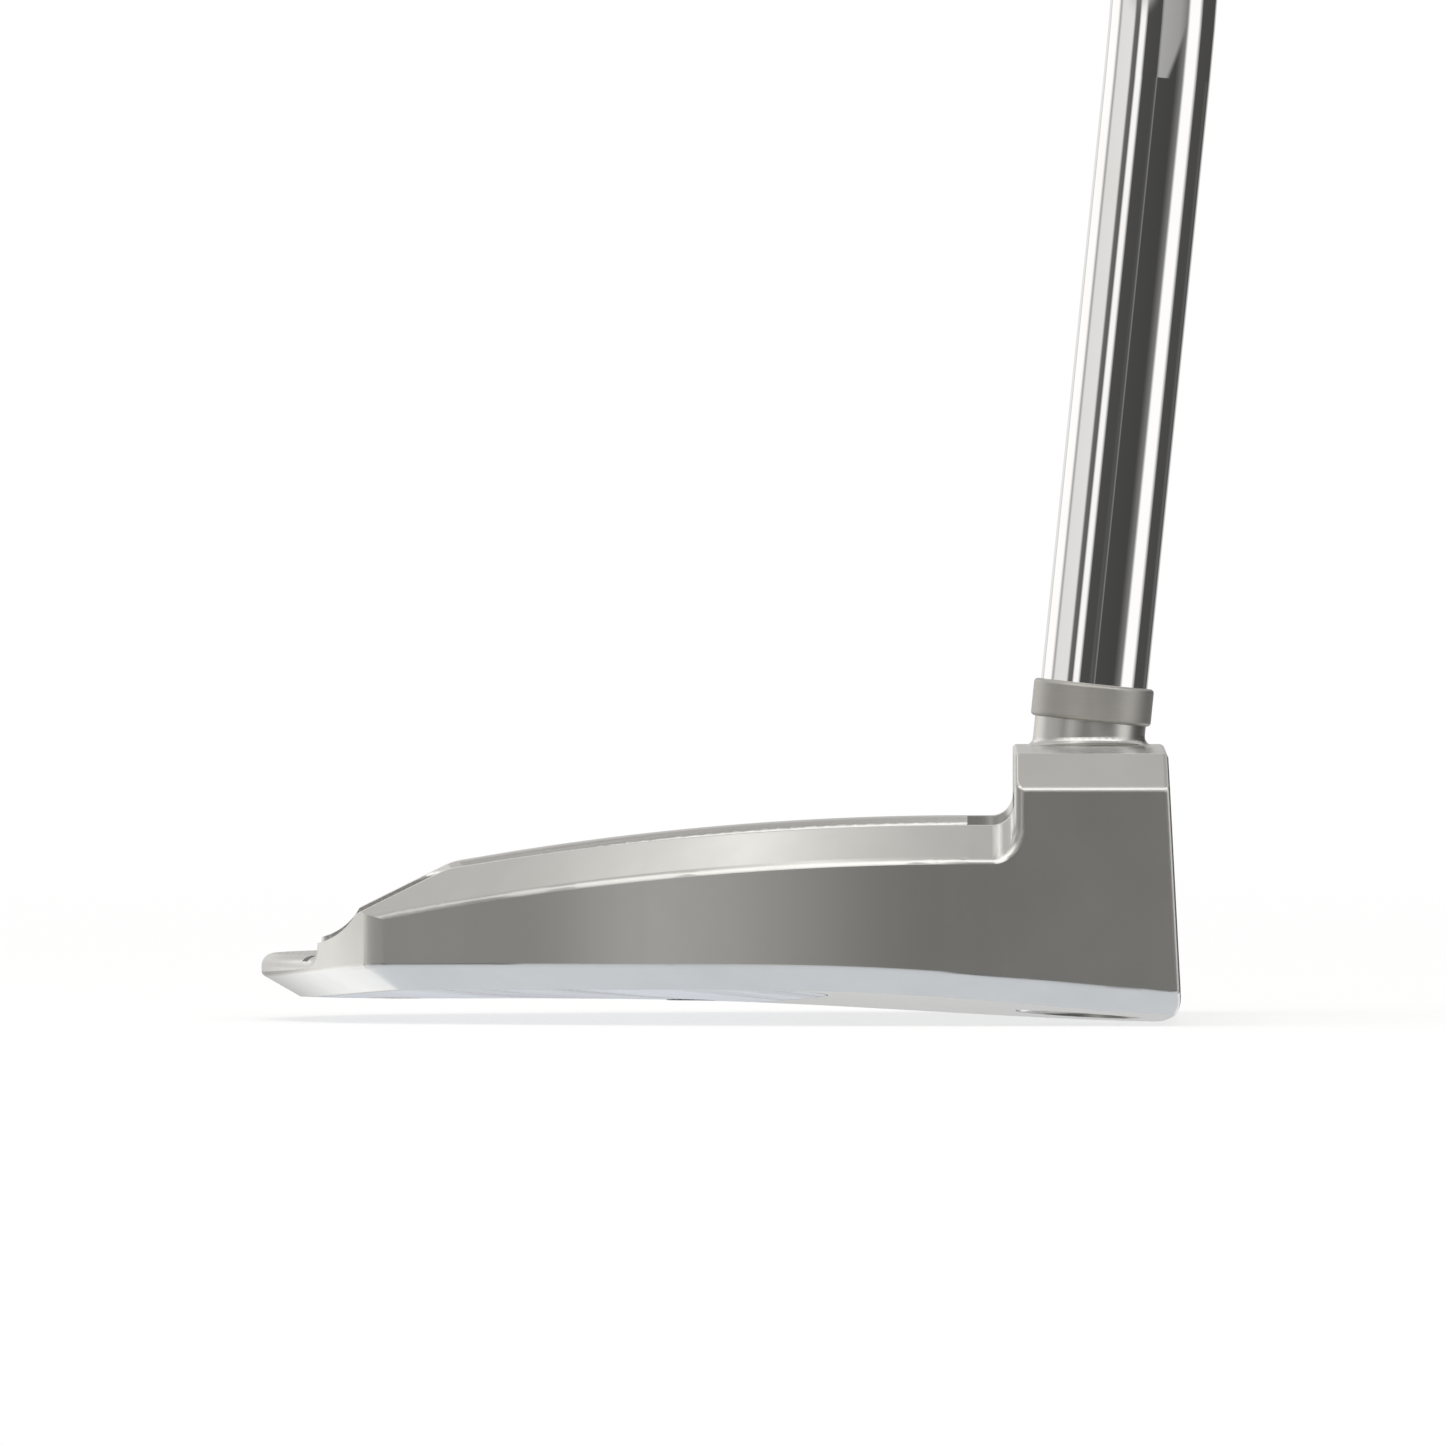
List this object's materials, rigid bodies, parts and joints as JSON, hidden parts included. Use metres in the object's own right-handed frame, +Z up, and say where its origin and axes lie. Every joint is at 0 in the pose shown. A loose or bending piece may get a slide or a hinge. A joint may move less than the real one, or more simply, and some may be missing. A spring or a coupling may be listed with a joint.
{
  "type": "mallet putter",
  "caption": "Right-handed mallet putter: blade-like front block, low body with two side bumpers round an open floor, leaning neck, double-bend steel shaft and pistol grip",
  "frame": {"origin": "on the sole's flat resting pad at ground level, midway from toe to heel and just behind the leading edge", "axes": "+X the way the face looks, +Y from toe to heel and on towards the player, +Z up with the club soled at its lie angle"},
  "size_m": [0.0961, 0.3633, 0.8485],
  "materials": {
    "head_steel": "satin, finely milled, with polished upper edges",
    "plate_aluminium": "milled, with slanting streaks",
    "small_steel": "satin, turned",
    "line_enamel": "black, semi-gloss",
    "collar_metal": "satin, warm grey",
    "shaft_chrome": "mirror bright",
    "tape": "matt double-sided tape",
    "grip_rubber": "matt, finely textured"
  },
  "bodies": {
    "root": {"head_body": "head_steel", "sole_plate": "plate_aluminium", "sole_plate_screws": "small_steel", "sole_weight_toe": "small_steel", "sole_weight_heel": "small_steel", "sight_line_toe": "line_enamel", "sight_line_heel": "line_enamel", "neck_collar": "collar_metal", "shaft": "shaft_chrome", "grip_tape": "tape", "grip": "grip_rubber"}
  },
  "joints": []
}
